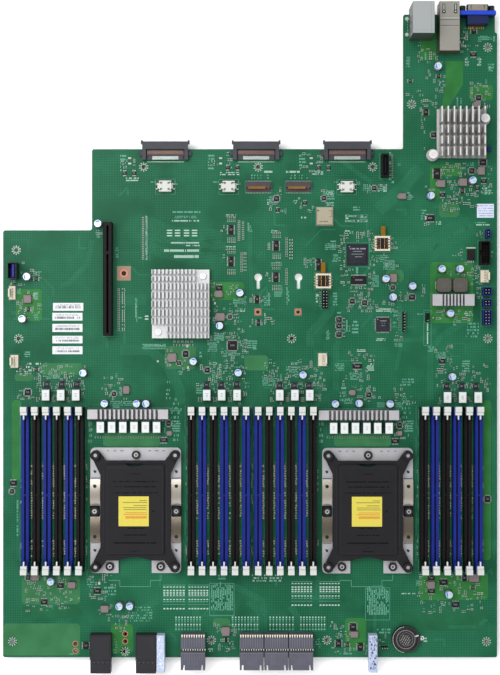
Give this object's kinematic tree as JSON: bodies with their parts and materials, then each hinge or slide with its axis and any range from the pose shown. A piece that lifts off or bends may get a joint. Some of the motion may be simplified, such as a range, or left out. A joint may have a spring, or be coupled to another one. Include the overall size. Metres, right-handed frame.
{
  "type": "server motherboard",
  "caption": "Large L-shaped server main board with two covered processor sockets, banks of memory slots with hinged ejector latches, heat sinks and edge connectors.",
  "frame": {"origin": "midpoint between the two front corner mounting holes, on the underside of the circuit board", "axes": "+Z out of the component side, +Y towards the rear connectors (the longest extent), +X along the front edge to the right"},
  "size_m": [0.4273, 0.5752, 0.035],
  "materials": {
    "pcb": "semi-gloss solder mask",
    "slot_blue": "satin",
    "black_plastic": "satin",
    "latch": "satin",
    "socket": "satin",
    "steel": "satin",
    "spring_steel": "satin",
    "black_screw": "black oxide",
    "stud": "satin",
    "backplate": "satin",
    "cover": "fine grain",
    "package": "moulded",
    "heatsink": "extruded",
    "vrm_heatsink": "extruded",
    "push_pin": "satin",
    "choke": "ferrite",
    "inductor": "moulded ferrite",
    "capacitor": "can",
    "cream_plastic": "satin",
    "m2_plastic": "satin",
    "edge_plastic": "satin",
    "white_plastic": "satin",
    "gold": "plated",
    "header_blue": "satin",
    "shell_metal": "plated",
    "tongue_blue": "satin",
    "holder_plastic": "satin",
    "cell": "polished can",
    "grey_plastic": "satin",
    "guide_white": "satin",
    "shield": "tinned",
    "vga_blue": "satin"
  },
  "bodies": {
    "board": {"pcb": "pcb", "dimm_slots_blue": "slot_blue", "dimm_slots_black": "black_plastic", "cpu_sockets": "socket", "bolster_plates": "steel", "leaf_springs": "spring_steel", "bolster_clips": "black_plastic", "bolster_screws": "black_screw", "heatsink_studs": "stud", "cpu_backplates": "backplate", "chipset_package": "package", "chipset_heatsink": "heatsink", "network_package": "package", "network_heatsink": "heatsink", "push_pins": "push_pin", "vrm_heatsinks": "vrm_heatsink", "power_stages": "package", "cpu_chokes": "choke", "memory_chokes": "choke", "square_inductors": "inductor", "small_inductors": "inductor", "polymer_capacitors": "capacitor", "bmc_package": "package", "logic_package": "package", "ic_packages": "package", "rom_sockets": "cream_plastic", "riser_slot": "black_plastic", "mezzanine_connector": "black_plastic", "m2_connectors": "m2_plastic", "rear_edge_connectors": "edge_plastic", "power_headers": "white_plastic", "fan_headers": "cream_plastic", "header_pins": "gold", "pin_header_bases": "black_plastic", "front_panel_headers": "header_blue", "shrouded_header": "black_plastic", "usb_port_shell": "shell_metal", "usb_port_tongue": "tongue_blue", "battery_holder": "holder_plastic", "backplane_connectors": "grey_plastic", "power_connectors": "black_plastic", "guide_blocks": "guide_white", "lan_stack": "shield", "usb_stack": "shield", "vga_connector": "vga_blue", "vga_shell": "shell_metal", "vga_jackscrews": "black_screw", "card_slot": "shield"},
    "latches_a_rear": {"latches_a_rear": "latch"},
    "latches_a_front": {"latches_a_front": "latch"},
    "latches_b_rear": {"latches_b_rear": "latch"},
    "latches_b_front": {"latches_b_front": "latch"},
    "latches_c_rear": {"latches_c_rear": "latch"},
    "latches_c_front": {"latches_c_front": "latch"},
    "latches_d_rear": {"latches_d_rear": "latch"},
    "latches_d_front": {"latches_d_front": "latch"},
    "socket_cover_1": {"socket_cover_1": "cover"},
    "socket_cover_2": {"socket_cover_2": "cover"},
    "jumper_cap": {"jumper_cap": "black_plastic"},
    "coin_cell": {"coin_cell": "cell"}
  },
  "joints": [
    {"name": "hinge_a_rear", "type": "hinge", "parent": "board", "child": "latches_a_rear", "pos_m": [-0.1691, 0.2007, 0.00556], "axis": [-1, 0, 0], "range_deg": [0, 35]},
    {"name": "hinge_a_front", "type": "hinge", "parent": "board", "child": "latches_a_front", "pos_m": [-0.1691, 0.0639, 0.00556], "axis": [1, 0, 0], "range_deg": [0, 35]},
    {"name": "hinge_b_rear", "type": "hinge", "parent": "board", "child": "latches_b_rear", "pos_m": [-0.0263, 0.2007, 0.00556], "axis": [-1, 0, 0], "range_deg": [0, 35]},
    {"name": "hinge_b_front", "type": "hinge", "parent": "board", "child": "latches_b_front", "pos_m": [-0.0263, 0.0639, 0.00556], "axis": [1, 0, 0], "range_deg": [0, 35]},
    {"name": "hinge_c_rear", "type": "hinge", "parent": "board", "child": "latches_c_rear", "pos_m": [0.031, 0.2007, 0.00556], "axis": [-1, 0, 0], "range_deg": [0, 35]},
    {"name": "hinge_c_front", "type": "hinge", "parent": "board", "child": "latches_c_front", "pos_m": [0.031, 0.0639, 0.00556], "axis": [1, 0, 0], "range_deg": [0, 35]},
    {"name": "hinge_d_rear", "type": "hinge", "parent": "board", "child": "latches_d_rear", "pos_m": [0.1736, 0.2007, 0.00556], "axis": [-1, 0, 0], "range_deg": [0, 35]},
    {"name": "hinge_d_front", "type": "hinge", "parent": "board", "child": "latches_d_front", "pos_m": [0.1736, 0.0639, 0.00556], "axis": [1, 0, 0], "range_deg": [0, 35]},
    {"name": "cover_lift_1", "type": "slide", "parent": "board", "child": "socket_cover_1", "axis": [0, 0, 1], "range_m": [0, 0.025]},
    {"name": "cover_lift_2", "type": "slide", "parent": "board", "child": "socket_cover_2", "axis": [0, 0, 1], "range_m": [0, 0.025]},
    {"name": "cell_lift", "type": "slide", "parent": "board", "child": "coin_cell", "axis": [0, 0, 1], "range_m": [0, 0.008]},
    {"name": "jumper_pull", "type": "slide", "parent": "board", "child": "jumper_cap", "axis": [0, 0, 1], "range_m": [0, 0.007]}
  ]
}
